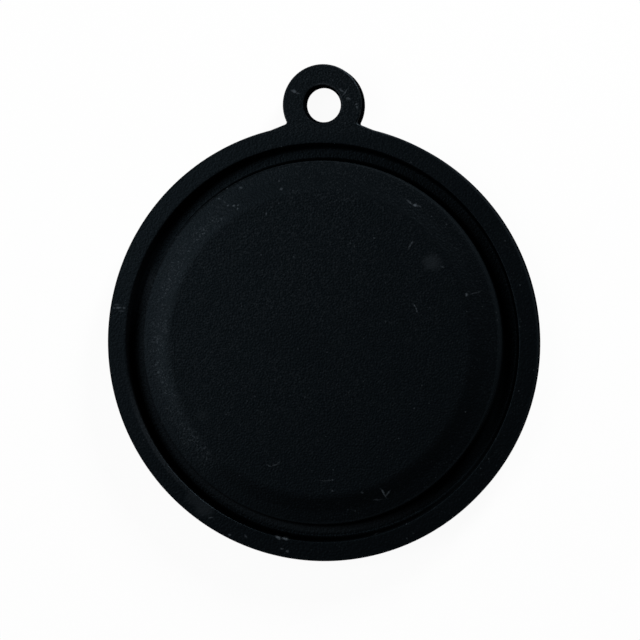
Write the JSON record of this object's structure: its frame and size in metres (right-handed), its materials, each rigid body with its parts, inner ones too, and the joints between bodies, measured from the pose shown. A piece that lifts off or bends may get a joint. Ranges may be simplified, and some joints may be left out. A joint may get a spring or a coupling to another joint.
{
  "type": "pressure switch diaphragm",
  "caption": "Round moulded rubber diaphragm with a clamped rim, a ported ear, a groove that flexes and a raised centre that pushes a switch plate.",
  "frame": {"origin": "on the disc's axis, in the plane of its plain lower face", "axes": "+Z along the disc's axis, out of the grooved face; +Y from the axis towards the ear's hole; +X to the right with the ear at the top"},
  "size_m": [0.054, 0.0614, 0.0043],
  "materials": {
    "black_rubber": "matt moulded rubber, black, with fine dust"
  },
  "bodies": {
    "root": {"rubber_diaphragm": "black_rubber"}
  },
  "joints": []
}
